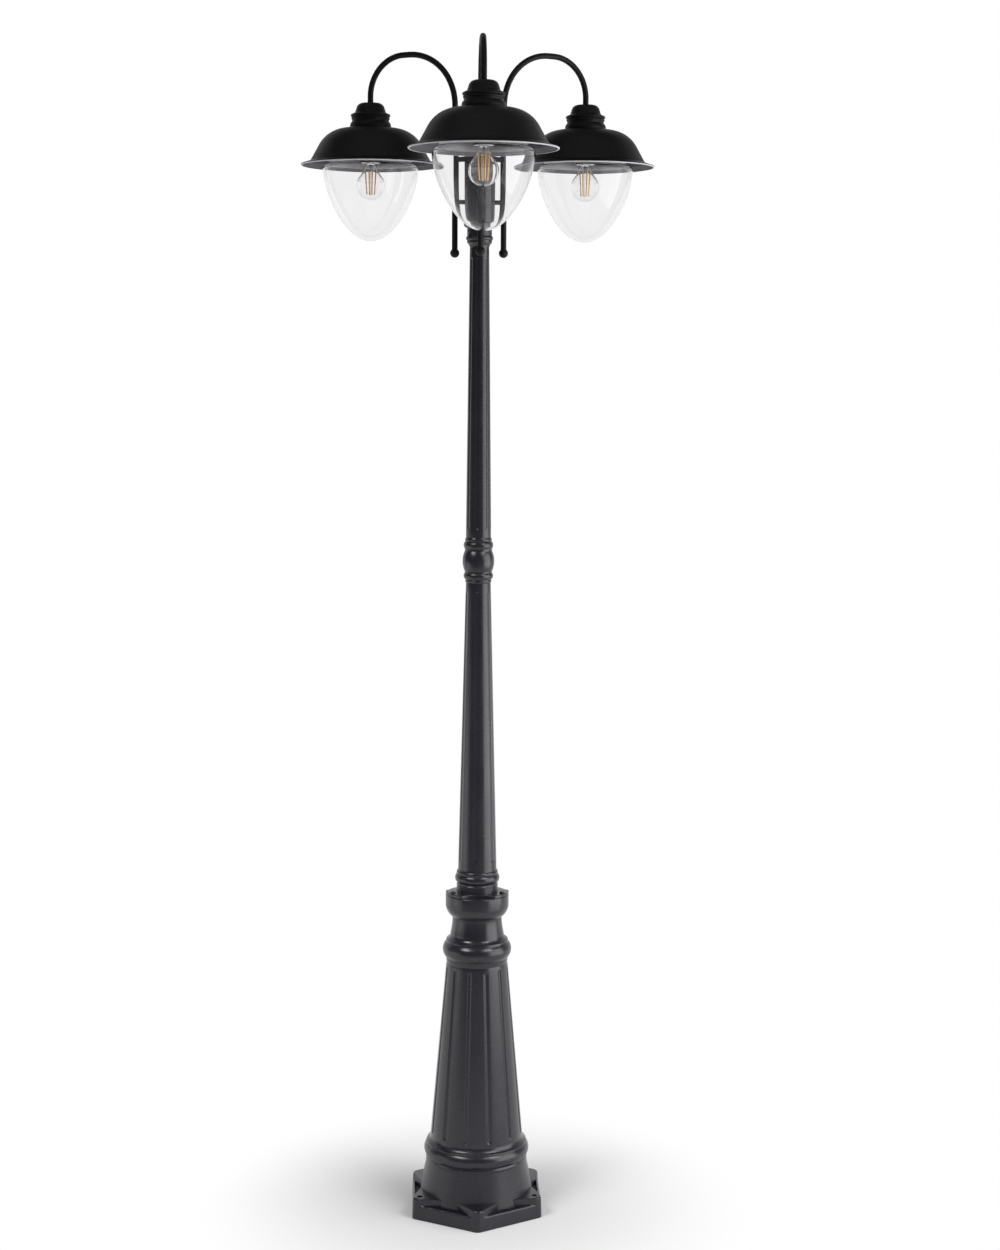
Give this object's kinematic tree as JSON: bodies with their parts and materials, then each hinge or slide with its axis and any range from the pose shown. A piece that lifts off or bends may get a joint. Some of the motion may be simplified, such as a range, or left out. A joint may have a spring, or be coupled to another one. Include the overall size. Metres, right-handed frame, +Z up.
{
  "type": "lamp post",
  "caption": "Garden lamp post: six-sided cast pedestal, fluted two-stage mast and gooseneck arms that carry shaded lamps with clear bowls.",
  "frame": {"origin": "centre of the foot on the ground, on the axis of the post", "axes": "+Z up the post; the front lamp hangs towards -Y, with a corner of the foot below it"},
  "size_m": [0.7424, 0.682, 2.4453],
  "materials": {
    "post_paint": "satin anthracite powder coat on cast aluminium",
    "shade_paint": "fine-textured matt black powder coat on aluminium",
    "arm_paint": "matt black powder coat on steel tube",
    "collar_paint": "satin pale grey paint",
    "black_steel": "blackened",
    "steel": "zinc plated",
    "terminal_plastic": "moulded",
    "cable_sheath": "smooth sheath",
    "gasket_rubber": "soft",
    "holder_ceramic": "glazed",
    "clear_plastic": "clear moulded, polished",
    "bulb_clear": "clear blown",
    "bulb_metal": "nickel plated",
    "contact_brass": "plain",
    "filament_amber": "amber phosphor"
  },
  "bodies": {
    "post": {"pedestal": "post_paint", "lower_mast": "post_paint", "mast_coupling": "post_paint", "upper_mast": "post_paint", "arm_hub": "post_paint", "hub_cap": "post_paint", "flange_bolts": "black_steel", "coupling_tube": "steel", "hub_tube": "steel", "shade_nuts": "steel", "terminal_block": "terminal_plastic", "riser_cable": "cable_sheath", "hub_connector": "terminal_plastic", "arm_1": "arm_paint", "arm_2": "arm_paint", "arm_3": "arm_paint", "ball_finial_1": "arm_paint", "ball_finial_2": "arm_paint", "ball_finial_3": "arm_paint", "lamp_lead_1": "cable_sheath", "lamp_lead_2": "cable_sheath", "lamp_lead_3": "cable_sheath", "lamp_cap_1": "shade_paint", "lamp_cap_2": "shade_paint", "lamp_cap_3": "shade_paint", "shade_1": "shade_paint", "shade_2": "shade_paint", "shade_3": "shade_paint", "diffuser_collar_1": "collar_paint", "diffuser_collar_2": "collar_paint", "diffuser_collar_3": "collar_paint", "lampholder_1": "holder_ceramic", "lampholder_2": "holder_ceramic", "lampholder_3": "holder_ceramic"},
    "diffuser_feed_1": {"diffuser_gasket_1": "gasket_rubber"},
    "diffuser_1": {"diffuser_1": "clear_plastic"},
    "bulb_feed_1": {"bulb_contact_1": "contact_brass"},
    "bulb_1": {"bulb_cap_1": "bulb_metal", "bulb_glass_1": "bulb_clear", "bulb_filament_1": "filament_amber"},
    "diffuser_feed_2": {"diffuser_gasket_2": "gasket_rubber"},
    "diffuser_2": {"diffuser_2": "clear_plastic"},
    "bulb_feed_2": {"bulb_contact_2": "contact_brass"},
    "bulb_2": {"bulb_cap_2": "bulb_metal", "bulb_glass_2": "bulb_clear", "bulb_filament_2": "filament_amber"},
    "diffuser_feed_3": {"diffuser_gasket_3": "gasket_rubber"},
    "diffuser_3": {"diffuser_3": "clear_plastic"},
    "bulb_feed_3": {"bulb_contact_3": "contact_brass"},
    "bulb_3": {"bulb_cap_3": "bulb_metal", "bulb_glass_3": "bulb_clear", "bulb_filament_3": "filament_amber"}
  },
  "joints": [
    {"name": "diffuser_drop_1", "type": "slide", "parent": "post", "child": "diffuser_feed_1", "axis": [0, 0, -1], "range_m": [0, 0.01199]},
    {"name": "diffuser_turn_1", "type": "hinge", "parent": "diffuser_feed_1", "child": "diffuser_1", "pos_m": [0, -0.26, 2.25], "axis": [0, 0, -1], "range_deg": [0, 720]},
    {"name": "bulb_drop_1", "type": "slide", "parent": "post", "child": "bulb_feed_1", "axis": [0, 0, -1], "range_m": [0, 0.01088]},
    {"name": "bulb_turn_1", "type": "hinge", "parent": "bulb_feed_1", "child": "bulb_1", "pos_m": [0, -0.26, 2.24], "axis": [0, 0, -1], "range_deg": [0, 1080]},
    {"name": "diffuser_drop_2", "type": "slide", "parent": "post", "child": "diffuser_feed_2", "axis": [0, 0, -1], "range_m": [0, 0.01199]},
    {"name": "diffuser_turn_2", "type": "hinge", "parent": "diffuser_feed_2", "child": "diffuser_2", "pos_m": [0.22517, 0.13, 2.25], "axis": [0, 0, -1], "range_deg": [0, 720]},
    {"name": "bulb_drop_2", "type": "slide", "parent": "post", "child": "bulb_feed_2", "axis": [0, 0, -1], "range_m": [0, 0.01088]},
    {"name": "bulb_turn_2", "type": "hinge", "parent": "bulb_feed_2", "child": "bulb_2", "pos_m": [0.22517, 0.13, 2.24], "axis": [0, 0, -1], "range_deg": [0, 1080]},
    {"name": "diffuser_drop_3", "type": "slide", "parent": "post", "child": "diffuser_feed_3", "axis": [0, 0, -1], "range_m": [0, 0.01199]},
    {"name": "diffuser_turn_3", "type": "hinge", "parent": "diffuser_feed_3", "child": "diffuser_3", "pos_m": [-0.22517, 0.13, 2.25], "axis": [0, 0, -1], "range_deg": [0, 720]},
    {"name": "bulb_drop_3", "type": "slide", "parent": "post", "child": "bulb_feed_3", "axis": [0, 0, -1], "range_m": [0, 0.01088]},
    {"name": "bulb_turn_3", "type": "hinge", "parent": "bulb_feed_3", "child": "bulb_3", "pos_m": [-0.22517, 0.13, 2.24], "axis": [0, 0, -1], "range_deg": [0, 1080]}
  ],
  "couplings": [
    {"joint": "diffuser_turn_1", "follows": "diffuser_drop_1", "rad_per_m": 1047.2},
    {"joint": "bulb_turn_1", "follows": "bulb_drop_1", "rad_per_m": 1731.6},
    {"joint": "diffuser_turn_2", "follows": "diffuser_drop_2", "rad_per_m": 1047.2},
    {"joint": "bulb_turn_2", "follows": "bulb_drop_2", "rad_per_m": 1731.6},
    {"joint": "diffuser_turn_3", "follows": "diffuser_drop_3", "rad_per_m": 1047.2},
    {"joint": "bulb_turn_3", "follows": "bulb_drop_3", "rad_per_m": 1731.6}
  ]
}
